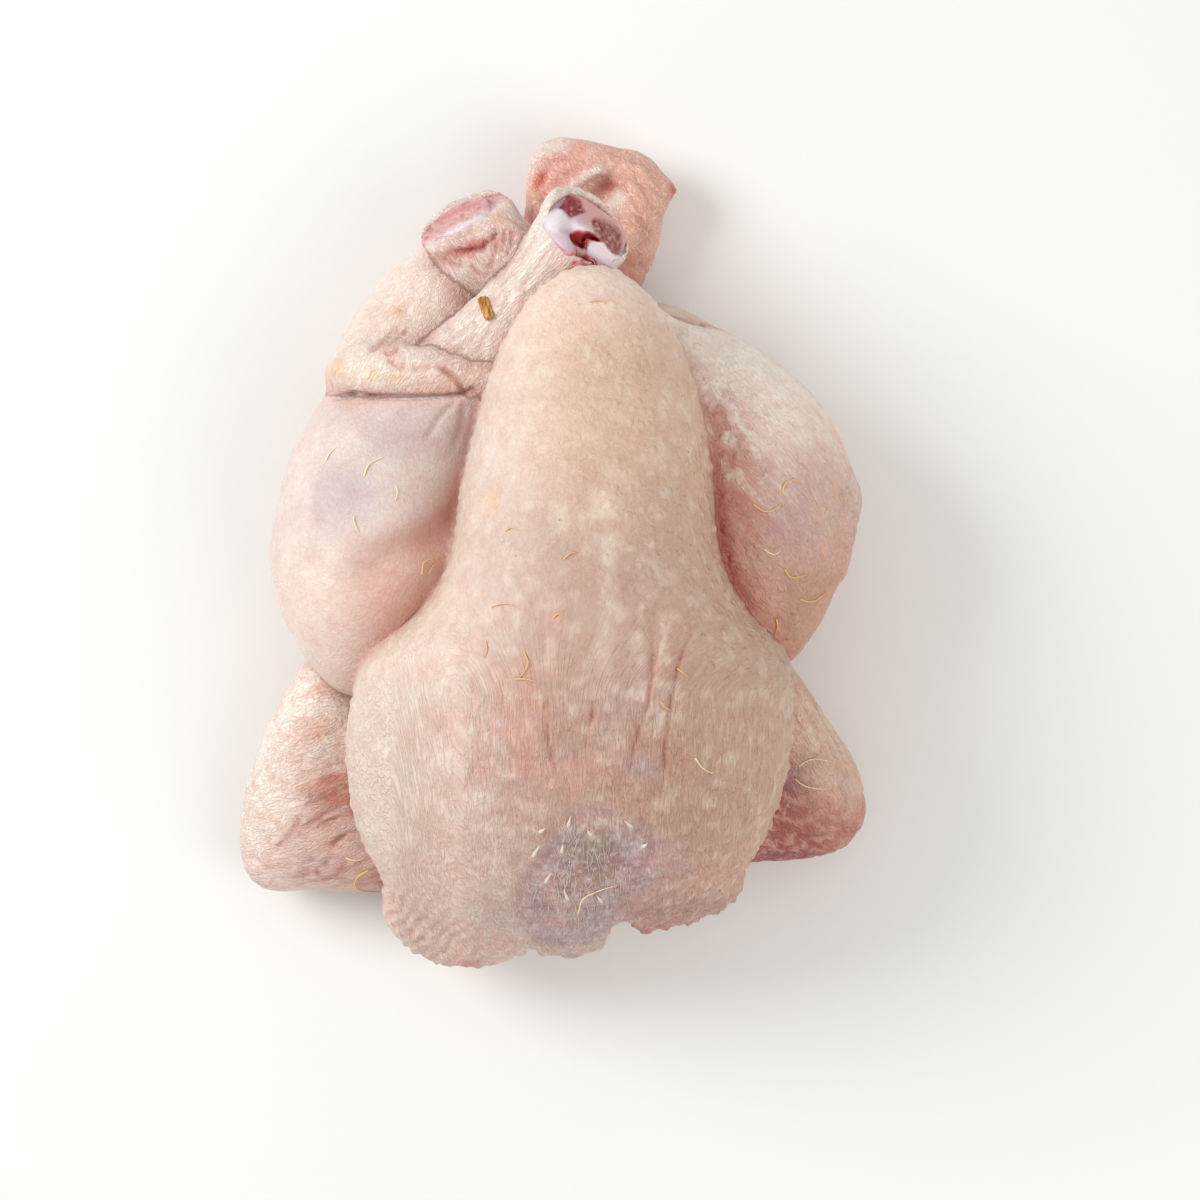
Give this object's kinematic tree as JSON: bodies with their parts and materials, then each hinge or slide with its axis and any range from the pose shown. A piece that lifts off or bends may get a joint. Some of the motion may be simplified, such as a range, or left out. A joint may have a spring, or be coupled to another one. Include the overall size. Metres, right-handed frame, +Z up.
{
  "type": "whole raw chicken",
  "caption": "Whole raw chicken, plucked and drawn, lying on its back with legs crossed behind the breast and wings folded at its sides.",
  "frame": {"origin": "the middle of the flat of the back, on the surface the bird lies on", "axes": "+Z up through the breast, +Y from the neck end to the tail, +X across the bird from the wing and leg on its lower-numbered side to the other"},
  "size_m": [0.1926, 0.2549, 0.112],
  "materials": {
    "skin": "moist raw poultry skin, pale pink to cream, softly translucent",
    "bone": "wet white cartilage with dark red marrow"
  },
  "bodies": {
    "root": {"chicken": "skin", "left_hock_bone": "bone", "right_hock_bone": "bone"}
  },
  "joints": []
}
